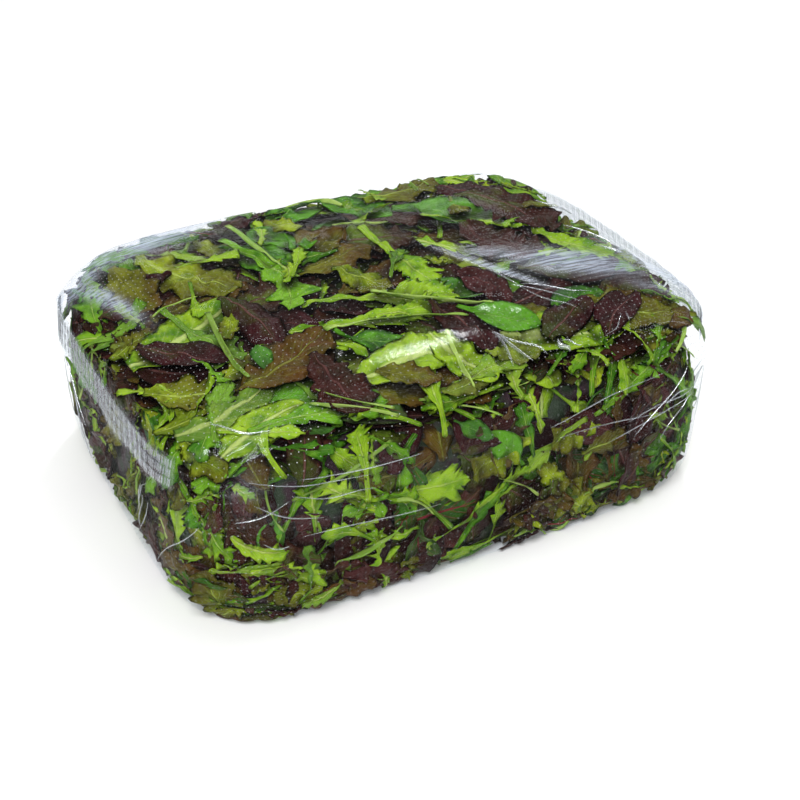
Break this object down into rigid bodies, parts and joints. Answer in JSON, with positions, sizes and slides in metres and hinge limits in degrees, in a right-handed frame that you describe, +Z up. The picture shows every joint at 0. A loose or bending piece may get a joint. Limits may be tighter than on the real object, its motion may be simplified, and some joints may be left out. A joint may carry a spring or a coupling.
{
  "type": "bag of salad leaves",
  "caption": "Clear film bag packed full of loose mixed salad leaves, box-shaped, with a straight edge and a folded-down crimped seal at each end.",
  "frame": {"origin": "middle of the flat underside", "axes": "+X along the bag from one end seal to the other, +Y across it, +Z up from the underside"},
  "size_m": [0.388, 0.2922, 0.1446],
  "materials": {
    "film": "thin clear glossy film with a grid of tiny holes",
    "green_leaf": "fresh mid to bright green leaf, slightly waxy",
    "pale_leaf": "yellow-green lettuce leaf with a pale midrib",
    "red_leaf": "burgundy to near-black lettuce and chard leaf",
    "bronze_leaf": "brown-olive lettuce leaf",
    "core": "dark packed leaves deep inside"
  },
  "bodies": {
    "root": {"salad_bag": "film"}
  },
  "joints": []
}
